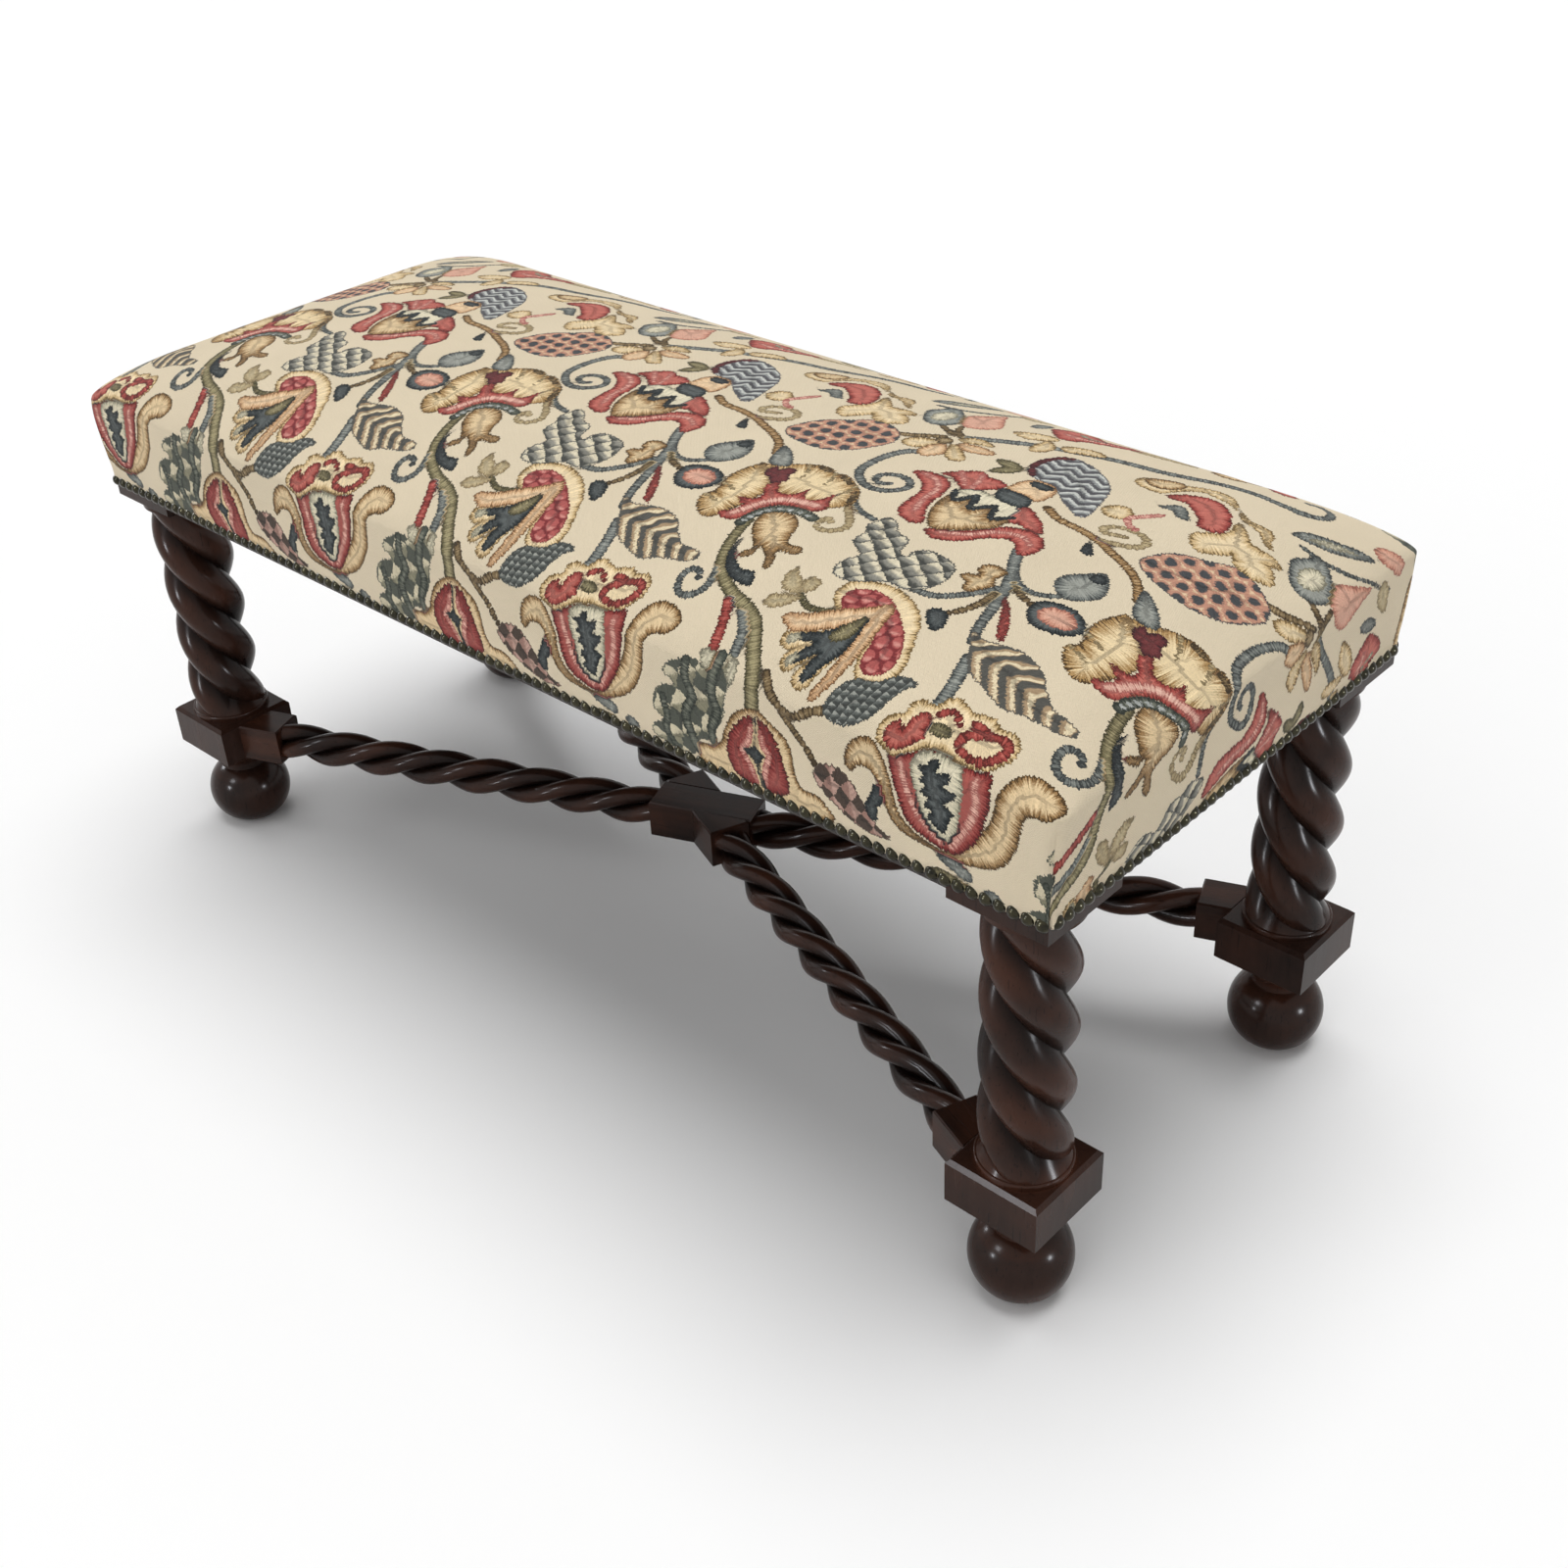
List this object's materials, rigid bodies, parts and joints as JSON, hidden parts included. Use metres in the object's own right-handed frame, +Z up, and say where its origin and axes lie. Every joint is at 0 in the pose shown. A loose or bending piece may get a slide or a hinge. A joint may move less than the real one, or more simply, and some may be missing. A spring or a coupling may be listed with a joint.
{
  "type": "window bench",
  "caption": "Long upholstered window bench with twist-carved legs on bun feet, a crossed twist stretcher and a close-nailed tapestry seat.",
  "frame": {"origin": "on the floor, under the middle of the seat", "axes": "+X along the seat to the viewer's right, +Y toward the back, +Z up"},
  "size_m": [1.0972, 0.4574, 0.5288],
  "materials": {
    "stained_wood": "dark stained and polished, worn a little redder on the high places",
    "frame_wood": "planed, unfinished",
    "tapestry": "woven tapestry, cream ground with a flowing leaf and flower pattern",
    "antique_brass": "darkened brass, domed heads",
    "tack_iron": "blued tacks",
    "jute_webbing": "woven jute",
    "hessian": "open jute cloth",
    "fibre_stuffing": "curled fibre, stitched",
    "cotton_wadding": "loose cotton sheet",
    "black_cotton": "plain black bottoming"
  },
  "bodies": {
    "root": {"bottoming_cloth": "black_cotton", "bottoming_tacks": "tack_iron", "foot_front_left": "stained_wood", "foot_front_right": "stained_wood", "foot_rear_left": "stained_wood", "foot_rear_right": "stained_wood", "leg_front_left": "stained_wood", "leg_front_right": "stained_wood", "leg_rear_left": "stained_wood", "leg_rear_right": "stained_wood", "nails_front": "antique_brass", "nails_left": "antique_brass", "nails_rear": "antique_brass", "nails_right": "antique_brass", "rail_pegs": "frame_wood", "seat_canvas": "hessian", "seat_cover": "tapestry", "seat_rail_front": "frame_wood", "seat_rail_left": "frame_wood", "seat_rail_rear": "frame_wood", "seat_rail_right": "frame_wood", "seat_stuffing": "fibre_stuffing", "seat_wadding": "cotton_wadding", "stretcher_bar_lower": "stained_wood", "stretcher_bar_upper": "stained_wood", "stretcher_dowels": "frame_wood", "webbing_crosswise": "jute_webbing", "webbing_lengthwise": "jute_webbing", "webbing_tacks": "tack_iron"}
  },
  "joints": []
}
